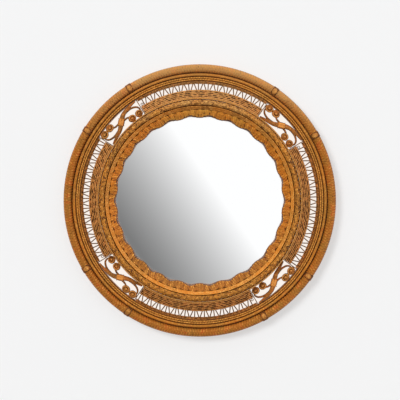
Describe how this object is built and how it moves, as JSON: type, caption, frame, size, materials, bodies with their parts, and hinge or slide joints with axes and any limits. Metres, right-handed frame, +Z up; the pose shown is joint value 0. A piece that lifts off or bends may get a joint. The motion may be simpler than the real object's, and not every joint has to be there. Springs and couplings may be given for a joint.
{
  "type": "convex butler's mirror",
  "caption": "Round gilt wall mirror with a convex glass, a scalloped sight edge, a pierced trellis ring with scroll cartouches and carved leaf mouldings.",
  "frame": {"origin": "centre of the flat back, in the plane that lies on the wall", "axes": "+Y into the wall, so the glass faces -Y; +Z up, +X to the viewer's right"},
  "size_m": [0.9, 0.0714, 0.8999],
  "materials": {
    "gilt_frame": "satin gilding over gesso",
    "gilt_carving": "satin gilding over carved gesso",
    "gilt_slip": "satin gilding over carved gesso",
    "gilt_scroll": "worn gilding over carved wood",
    "basketwork": "dull toned gilding",
    "trellis_bars": "dull bronze paint",
    "mirror_glass": "silvered glass",
    "felt": "wool felt",
    "bare_wood": "bare softwood",
    "steel_hardware": "zinc plated"
  },
  "bodies": {
    "frame": {"outer_frame_ring": "gilt_frame", "carrier_ring": "gilt_frame", "inner_bead": "gilt_frame", "outer_leaf_torus": "gilt_carving", "inner_leaf_torus": "gilt_carving", "ribbon_ties": "gilt_carving", "reeded_strip": "gilt_carving", "sight_slip": "gilt_slip", "rosettes": "gilt_scroll", "cartouche_scroll_ne": "gilt_scroll", "cartouche_scroll_se": "gilt_scroll", "cartouche_scroll_sw": "gilt_scroll", "cartouche_scroll_nw": "gilt_scroll", "outer_basket_rail_right": "basketwork", "outer_basket_rail_bottom": "basketwork", "outer_basket_rail_left": "basketwork", "outer_basket_rail_top": "basketwork", "inner_basket_rail_right": "basketwork", "inner_basket_rail_bottom": "basketwork", "inner_basket_rail_left": "basketwork", "inner_basket_rail_top": "basketwork", "trellis_right": "trellis_bars", "trellis_bottom": "trellis_bars", "trellis_left": "trellis_bars", "trellis_top": "trellis_bars", "end_stile_ne_a": "trellis_bars", "end_stile_ne_b": "trellis_bars", "end_stile_se_a": "trellis_bars", "end_stile_se_b": "trellis_bars", "end_stile_sw_a": "trellis_bars", "end_stile_sw_b": "trellis_bars", "end_stile_nw_a": "trellis_bars", "end_stile_nw_b": "trellis_bars", "mirror_glass": "mirror_glass", "glass_cushion": "felt", "glazing_blocks": "bare_wood", "backing_board": "bare_wood", "board_screws": "steel_hardware", "hanger_strap_left": "steel_hardware", "hanger_strap_right": "steel_hardware", "strap_screw_left": "steel_hardware", "strap_screw_right": "steel_hardware"},
    "d_ring_left": {"d_ring_left": "steel_hardware"},
    "d_ring_right": {"d_ring_right": "steel_hardware"}
  },
  "joints": [
    {"name": "d_ring_left_swing", "type": "hinge", "parent": "frame", "child": "d_ring_left", "pos_m": [-0.38622, -0.01047, 0.15604], "axis": [0.9272, 0, -0.3746], "range_deg": [0, 180]},
    {"name": "d_ring_right_swing", "type": "hinge", "parent": "frame", "child": "d_ring_right", "pos_m": [0.38622, -0.01047, 0.15604], "axis": [0.9272, 0, 0.3746], "range_deg": [0, 180]}
  ]
}
